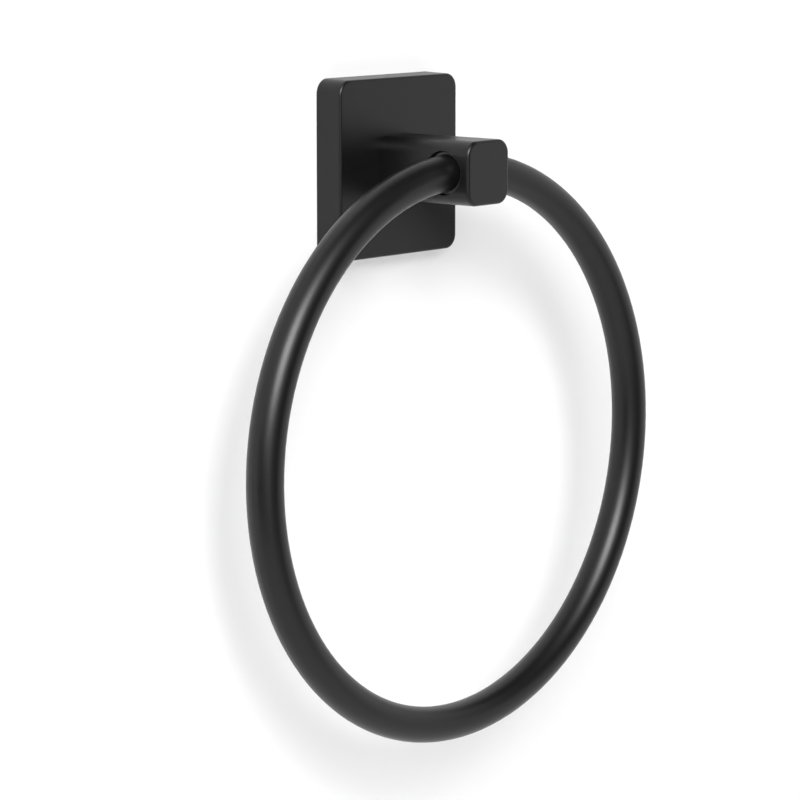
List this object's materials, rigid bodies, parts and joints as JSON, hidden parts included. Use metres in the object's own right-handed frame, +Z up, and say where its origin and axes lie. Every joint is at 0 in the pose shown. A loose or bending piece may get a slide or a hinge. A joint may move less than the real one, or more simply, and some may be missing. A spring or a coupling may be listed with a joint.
{
  "type": "towel ring",
  "caption": "Wall-mounted towel ring: a round-bar ring swings on a bush in the cross bore of a square post that stands out of a square cover plate fixed on a hidden dovetail wall bracket.",
  "frame": {"origin": "on the wall plane, behind the middle of the cover plate, midway between the two wall holes", "axes": "+Y into the wall, so the object stands out towards -Y; +Z up; +X to the right as seen from the front"},
  "size_m": [0.164, 0.0404, 0.1839],
  "materials": {
    "black_coat": "satin black powder coat",
    "black_plastic": "black nylon",
    "steel": "plain",
    "bracket_metal": "mill finish"
  },
  "bodies": {
    "holder": {"cover_plate": "black_coat", "post": "black_coat", "post_screw": "steel", "set_screw": "steel", "wall_bracket": "bracket_metal"},
    "ring": {"ring": "black_coat", "ring_bush": "black_plastic"}
  },
  "joints": [
    {"name": "ring_swing", "type": "hinge", "parent": "holder", "child": "ring", "pos_m": [0, -0.0315, 0], "axis": [1, 0, 0], "range_deg": [-189.5, 9.5]}
  ]
}
